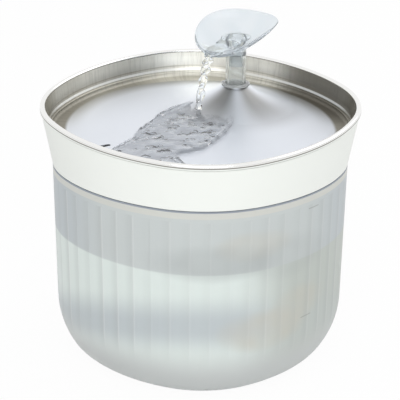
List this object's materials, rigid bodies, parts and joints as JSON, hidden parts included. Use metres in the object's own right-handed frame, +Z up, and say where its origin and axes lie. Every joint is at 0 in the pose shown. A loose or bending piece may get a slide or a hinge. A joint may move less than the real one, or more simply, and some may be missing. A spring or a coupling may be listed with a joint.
{
  "type": "pet water fountain",
  "caption": "Round-cornered pet water fountain: frosted bowl, white wedge collar, steel tray with a trumpet neck, clear leaf spout and a submersible pump.",
  "frame": {"origin": "centre of the footprint on the ground, under the ground pads", "axes": "+Z up, -Y is the low front of the tray, +X to the right seen from the front"},
  "size_m": [0.217, 0.2165, 0.2265],
  "materials": {
    "frosted_plastic": "frosted translucent",
    "soft_rubber": "matt",
    "white_plastic": "satin",
    "stainless_steel": "satin inside, polished rim",
    "clear_plastic": "clear, polished",
    "filter_media": "felt over charcoal",
    "filter_foam": "open-cell foam",
    "pump_plastic": "satin",
    "magnet": "matt",
    "ceramic": "polished"
  },
  "bodies": {
    "bowl": {"tank": "frosted_plastic", "ground_pads": "soft_rubber", "riser_tube": "clear_plastic", "pump_housing": "pump_plastic", "pump_volute": "pump_plastic", "rotor_shaft": "ceramic", "shaft_bushes": "soft_rubber", "cable_gland": "soft_rubber", "suction_cups": "soft_rubber"},
    "collar": {"collar": "white_plastic", "cable_notch_plug": "soft_rubber", "filter_carrier": "white_plastic", "filter_pad": "filter_media", "filter_lid": "white_plastic"},
    "tray": {"tray": "stainless_steel", "tray_grommet": "clear_plastic"},
    "tube": {"spout_tube": "clear_plastic"},
    "leaf": {"spout_leaf": "clear_plastic"},
    "impeller": {"impeller": "white_plastic", "rotor_magnet": "magnet"},
    "intake": {"intake_cap": "pump_plastic", "foam_prefilter": "filter_foam"},
    "slider": {"flow_slider": "white_plastic"}
  },
  "joints": [
    {"name": "collar_lift", "type": "slide", "parent": "bowl", "child": "collar", "axis": [0, 0, 1], "range_m": [0, 0.08]},
    {"name": "tray_lift", "type": "slide", "parent": "collar", "child": "tray", "axis": [0, 0, 1], "range_m": [0, 0.06]},
    {"name": "spout_lift", "type": "slide", "parent": "tray", "child": "tube", "axis": [0, 0, 1], "range_m": [0, 0.045]},
    {"name": "leaf_turn", "type": "hinge", "parent": "tube", "child": "leaf", "pos_m": [0.02749, 0.04648, 0.198], "axis": [0, 0, 1], "continuous": true},
    {"name": "impeller_spin", "type": "hinge", "parent": "bowl", "child": "impeller", "pos_m": [0.02749, 0.04648, 0.027], "axis": [1, 0, 0], "continuous": true},
    {"name": "cap_pull", "type": "slide", "parent": "bowl", "child": "intake", "axis": [1, 0, 0], "range_m": [0, 0.009]},
    {"name": "slider_travel", "type": "slide", "parent": "intake", "child": "slider", "axis": [0, 0, 1], "range_m": [0, 0.007]}
  ]
}
